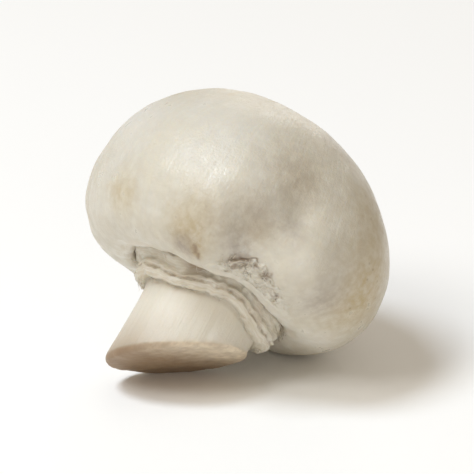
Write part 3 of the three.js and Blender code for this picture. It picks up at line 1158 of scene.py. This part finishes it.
# %% Make the blades
BLADES = 208
BLADE_SEED = 7
BLADE_COLUMNS = 9
BLADE_THICKNESS = 0.16
BLADE_ROOT = 0.25
BLADE_DEPTH = 3.1
SHALLOWEST = 0.88
END_DEPTH = 0.3
END_BLUNTNESS = 0.12
END_FULLNESS = 0.6
# shares of the way along the roof
TIER_STARTS = (0.05, 0.5, 0.27, 0.5)
EARLIEST_START = 0.03
BLADE_END = 0.96
# how far a blade may stray, as a share of the gap, of the roof and of its depth
GAP_STRAY = 0.15
START_STRAY = 0.03
LEAN = 0.05
# how high each blade ripples, in how many waves, and how the waves shift from blade to blade
RIPPLE = 0.1
RIPPLE_WAVES = 7
RIPPLE_TURN = 40
ROOF_SPACING = 0.25

roof = glide(ROOF_KNOTS, ROOF_SPACING) + [Vector((ROOF_KNOTS[-1][0], 0, ROOF_KNOTS[-1][1]))]


def roof_at(share):
    """A place on the chamber's roof, and the way down from it, square to the roof."""
    at = share * (len(roof) - 1)
    i = min(int(at), len(roof) - 2)
    place = roof[i].lerp(roof[i + 1], at - i)
    along = (roof[i + 1] - roof[i]).normalized()
    return place, Vector((along.z, 0, -along.x))


def add_blade(bm, azimuth, start, depth, lean):
    """A strip of faces that hangs from the roof, deepest in its middle."""
    turn = Matrix.Rotation(azimuth, 3, "Z")
    rows = []
    for i in range(BLADE_COLUMNS):
        along = i / (BLADE_COLUMNS - 1)
        place, down = roof_at(start + (BLADE_END - start) * along)
        arch = math.sin(math.pi * min(1, END_BLUNTNESS + (1 - END_BLUNTNESS) * along)) ** END_FULLNESS
        hang = depth * (END_DEPTH + (1 - END_DEPTH) * arch)
        ripple = RIPPLE * math.sin(RIPPLE_WAVES * along + RIPPLE_TURN * azimuth)
        side = Vector((0, lean * hang + ripple, 0))
        rows.append((turn @ (place - down * BLADE_ROOT), turn @ (place + down * hang + side)))
    verts = [[bm.verts.new(point) for point in row] for row in rows]
    for (a, b), (c, d) in zip(verts, verts[1:]):
        bm.faces.new((a, b, d, c))


def gill_blades():
    rng = random.Random(BLADE_SEED)
    bm = bmesh.new()
    for i in range(BLADES):
        azimuth = math.tau * (i + rng.uniform(-GAP_STRAY, GAP_STRAY)) / BLADES
        start = TIER_STARTS[i % len(TIER_STARTS)] + rng.uniform(-START_STRAY, START_STRAY)
        depth = BLADE_DEPTH * rng.uniform(SHALLOWEST, 1.0)
        add_blade(bm, azimuth, max(EARLIEST_START, start), depth, rng.uniform(-LEAN, LEAN))
    bmesh.ops.recalc_face_normals(bm, faces=bm.faces[:])
    bmesh.ops.solidify(bm, geom=bm.faces[:], thickness=BLADE_THICKNESS)
    bmesh.ops.recalc_face_normals(bm, faces=bm.faces[:])
    return bm


# %% [markdown]
# The blades grow uneven with the flesh round them, by the same formulas, and go down with it to the same
# place.

# %% Set the gills in
GILL_TAN = seen(168, 128, 96)
GILL_BROWN = seen(132, 92, 66)


def follow_flesh(bm):
    """Moves a piece made upright as the flesh round it was moved, and lays it down with it."""
    upright_places = places_of(bm)
    remember_places(bm, upright_places)
    put_back(bm, upright_places + swollen(upright_places) + stood_and_cut(upright_places))
    lay_with_flesh(bm)


def gill_material():
    material, tree, surface = new_material("gill brown")
    place = attribute(tree, "grown", "Vector")
    soft = use(tree, patches, Place=place, Size=1.4, Share=0.5).outputs["Mask"]
    colour = blend_colour(tree, soft, GILL_TAN, GILL_BROWN)
    grain = noise_field(tree, place, scale=3.0, detail=3.0)
    bump = add(tree, "ShaderNodeBump", Strength=0.3, Distance=0.0001, Height=grain)
    fill(tree, surface, Base_Color=colour, Roughness=0.8, Normal=bump.outputs["Normal"])
    return material


blades = gill_blades()
follow_flesh(blades)
gills = new_object(blades, "gill_blades", gill_material())
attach(gills, "root")
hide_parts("gills")

# %% [markdown]
# ## Threads of torn veil
# Where the veil tore, its threads stay hanging: some still bridge the slit between the margin and the ring,
# some fray out of the ring's lower lip, and some lie tangled on the torn place of the margin. Hair curves
# would be the quick way, but they are lost when the model is exported, so each thread is a thin tapering
# tube of its own.

# %% The ways that threads take over the slit and down the stem
THREAD_RINGS = 8
MARGIN_LIP = (MARGIN_RADIUS + 0.4, MARGIN_LEVEL - 0.3)
RING_LIP = (RING_RADIUS - 0.7, RING_BOTTOM + 0.1)
RIDGE_RADIUS = RING_RADIUS + 0.2
RIDGE_RISE = (0.2, 1.1)
FRAY_GAP = (0.2, 0.8)
FRAY_DROP = (0.3, 1)
# middle and scatter of the side that tore last
TORN_SIDE = (-110, 40)
# how far a thread drifts round the axis, and how far it bows out
BRIDGE_DRIFT = 8
BRIDGE_BOW = 0.3
FRAY_DRIFT = 6
FRAY_BOW = 0.2
WOBBLE = 0.2


def crooked(root, tip, rng, bend):
    """A way from root to tip that bows and wobbles."""
    way = tip - root
    bow = np.array([rng.gauss(0, bend) for _ in range(3)])
    shares = np.linspace(0, 1, THREAD_RINGS)
    wobble = np.array([[rng.gauss(0, WOBBLE * bend) for _ in range(3)] for _ in shares])
    return root + shares[:, None] * way + np.sin(math.pi * shares)[:, None] * bow + wobble


def bridging(rng):
    """From the margin's lip to the ring; most of them at the side that tore last."""
    azimuth = rng.choice((rng.gauss(*TORN_SIDE), rng.uniform(-180, 180)))
    root = upright_place(azimuth, *MARGIN_LIP)
    azimuth += rng.gauss(0, BRIDGE_DRIFT)
    tip = upright_place(azimuth, RIDGE_RADIUS, RING_TOP + rng.uniform(*RIDGE_RISE))
    return crooked(root, tip, rng, BRIDGE_BOW)


def frayed(rng):
    """Out of the ring's lower lip, lying down on the stem."""
    azimuth = rng.uniform(-180, 180)
    root = upright_place(azimuth, *RING_LIP)
    azimuth += rng.gauss(0, FRAY_DRIFT)
    radius = STEM_RADIUS + rng.uniform(*FRAY_GAP)
    tip = upright_place(azimuth, radius, RING_BOTTOM - rng.uniform(*FRAY_DROP))
    return crooked(root, tip, rng, FRAY_BOW)


# %% The way of a thread on the torn rim
# azimuth, level, spread
TANGLES = ((-138.5, -9.2, 1), (-129, -8.7, 1.2), (-125, -8.6, 1.4), (-119.5, -9, 1.3), (-111, -9.3, 1.6))
# scatter and step in azimuth and in level
TANGLE_SCATTER = (1.6, 0.35)
TANGLE_STEP = (0.5, 0.16)
TANGLE_TURN = 0.5
TANGLE_LEVELS = (-9.5, -6.5)
TANGLE_ARCH = 0.1
TANGLE_SUNK = 0.03


def tangled(rng):
    """A wandering way over the torn place of the rim, hugging the skin."""
    azimuth, level, spread = rng.choice(TANGLES)
    azimuth += rng.gauss(0, spread * TANGLE_SCATTER[0])
    level += rng.gauss(0, spread * TANGLE_SCATTER[1])
    heading = rng.uniform(0, math.tau)
    way = []
    for i in range(THREAD_RINGS):
        spot = on_cap(azimuth, min(TANGLE_LEVELS[1], max(level, TANGLE_LEVELS[0])))
        arch = TANGLE_ARCH * math.sin(math.pi * i / (THREAD_RINGS - 1))
        out = (spot - HEART) / np.linalg.norm(spot - HEART)
        way.append(spot + (RAG_LIFT + arch - TANGLE_SUNK) * out)
        heading += rng.gauss(0, TANGLE_TURN)
        azimuth += TANGLE_STEP[0] * math.cos(heading)
        level += TANGLE_STEP[1] * math.sin(heading)
    return np.array(way)


# %% A thread as a thin tube
THREAD_SIDES = 4
THREAD_WIDTHS = (0.025, 0.055)
THREAD_END = 0.3


def add_thread(bm, way, width):
    """A tube along a way, tapering towards both ends."""
    rings = []
    for i, place in enumerate(way):
        along = (way[min(i + 1, len(way) - 1)] - way[max(i - 1, 0)]).normalized()
        across = along.orthogonal().normalized()
        size = width * (THREAD_END + (1 - THREAD_END) * math.sin(math.pi * (i + 0.5) / len(way)))
        turns = [Matrix.Rotation(math.tau * k / THREAD_SIDES, 3, along) for k in range(THREAD_SIDES)]
        rings.append([bm.verts.new(place + size * (turn @ across)) for turn in turns])
    for lower, upper in zip(rings, rings[1:]):
        for k in range(THREAD_SIDES):
            bm.faces.new((lower[k - 1], lower[k], upper[k], upper[k - 1]))
    bm.faces.new(rings[0])
    bm.faces.new(rings[-1])


# %% Grow the threads and lay them down
THREAD_SEED = 3
THREAD_TONE_EDGES = (0.35, 0.7)
# name: how it runs, how many, whether it lies on the cap
THREADS = {
    "bridging the slit": (bridging, 40, False),
    "frayed out of the ring": (frayed, 70, False),
    "tangled on the rim": (tangled, 90, True),
}


def veil_threads():
    rng = random.Random(THREAD_SEED)
    bm = bmesh.new()
    for kind, count, on_the_cap in THREADS.values():
        ways = np.array([kind(rng) for _ in range(count)]).reshape(-1, 3)
        moves = swollen(ways) + stood_and_cut(ways) + rim_torn_back(ways)
        if on_the_cap:
            moves += outward(ways) * stroked(ways, FOLDS)[0][:, None]
        for way in (ways + moves).reshape(count, THREAD_RINGS, 3):
            add_thread(bm, [Vector(place) for place in way], rng.uniform(*THREAD_WIDTHS))
    bmesh.ops.recalc_face_normals(bm, faces=bm.faces[:])
    lay_with_flesh(bm)
    return bm


def thread_material():
    material, tree, surface = new_material("torn veil")
    spot = add(tree, "ShaderNodeTexCoord").outputs["Object"]
    soft = noise_field(tree, spot, scale=700.0, detail=2.0)
    colour = blend_colour(tree, ramp(tree, soft, *THREAD_TONE_EDGES), VEIL_WHITE, STEM_TAN)
    fill(tree, surface, Base_Color=colour, Roughness=VEIL_ROUGHNESS)
    return material


threads = new_object(veil_threads(), "veil_threads", thread_material(), smooth=True)
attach(threads, "root")

# %% [markdown]
# ## Floor, light and camera
# The mushroom lies on a plain pale floor in soft studio light. The main lamp hangs above and a little to
# the left, a second one to the left of the camera softens its shadows, and two weak ones, low at the front
# and at the back, keep the underside and the far side from going dark. A warm even sky fills the rest. The
# lamps are hidden from the camera, so that they don't show when it is moved round. The camera looks down on
# the mushroom with a long lens.

# %% The floor
FLOOR_HALF = 1.5
FLOOR_WHITE = seen(254, 254, 253)
FLOOR_SHADE = seen(252, 252, 251)


def floor_material():
    material, tree, surface = new_material("pale floor")
    spot = add(tree, "ShaderNodeTexCoord").outputs["Object"]
    soft = noise_field(tree, spot, scale=6.0, detail=2.0)
    colour = blend_colour(tree, soft, FLOOR_WHITE, FLOOR_SHADE)
    fill(tree, surface, Base_Color=colour, Roughness=0.7, Specular_IOR_Level=0.1)
    return material


floor_bm = bmesh.new()
bmesh.ops.create_grid(floor_bm, x_segments=2, y_segments=2, size=FLOOR_HALF)
floor = new_object(floor_bm, "floor", floor_material())

# %% The lamps and the sky
AIM = Vector((0, -0.6, 18.4)) * MM
SKY_COLOUR = (1.0, 0.88, 0.73, 1)
SKY_STRENGTH = 0.4
# name: place in metres, width, watts, colour
LAMPS = {
    "from above": ((-0.33, -0.09, 0.74), 0.3, 3.2, (0.9, 1.0, 1.12)),
    "from the left front": ((-0.40, -0.36, 0.60), 0.3, 1.72, (1.0, 1.0, 0.98)),
    "weak and low from the front": ((0.15, -0.6, 0.12), 0.5, 0.45, (1.0, 0.97, 0.93)),
    "weak from behind": ((0.2, 0.74, 0.22), 0.5, 0.9, (1.0, 0.98, 0.93)),
}


def soft_lamp(name, place, width, watts, colour):
    data = bpy.data.lights.new(name, "AREA")
    data.shape = "DISK"
    data.size = width
    data.energy = watts
    data.color = colour
    lamp = bpy.data.objects.new(name, data)
    lamp.location = place
    lamp.rotation_euler = (AIM - Vector(place)).to_track_quat("-Z", "Y").to_euler()
    lamp.visible_camera = False
    bpy.context.scene.collection.objects.link(lamp)


for lamp_name, settings in LAMPS.items():
    soft_lamp(lamp_name, *settings)

world = bpy.data.worlds.new("studio")
world.use_nodes = True
fill(world.node_tree, world.node_tree.nodes["Background"], Color=SKY_COLOUR, Strength=SKY_STRENGTH)
bpy.context.scene.world = world
bpy.context.scene.view_settings.view_transform = "Standard"
print("lamps:", list(LAMPS))

# %% The camera
CAMERA_ELEVATION = 21.03
CAMERA_DISTANCE = 0.7
VIEW_WIDTH = 65.4 * MM
NEAREST_SEEN = 0.01

camera_data = bpy.data.cameras.new("camera")
camera = bpy.data.objects.new("camera", camera_data)
elevation = math.radians(CAMERA_ELEVATION)
towards_camera = Vector((0, -math.cos(elevation), math.sin(elevation)))
camera.location = AIM + towards_camera * CAMERA_DISTANCE
camera.rotation_euler = (-towards_camera).to_track_quat("-Z", "Y").to_euler()
camera_data.lens = camera_data.sensor_width * CAMERA_DISTANCE / VIEW_WIDTH
camera_data.clip_start = NEAREST_SEEN
bpy.context.scene.collection.objects.link(camera)
bpy.context.scene.camera = camera
print("lens in mm", round(camera_data.lens))
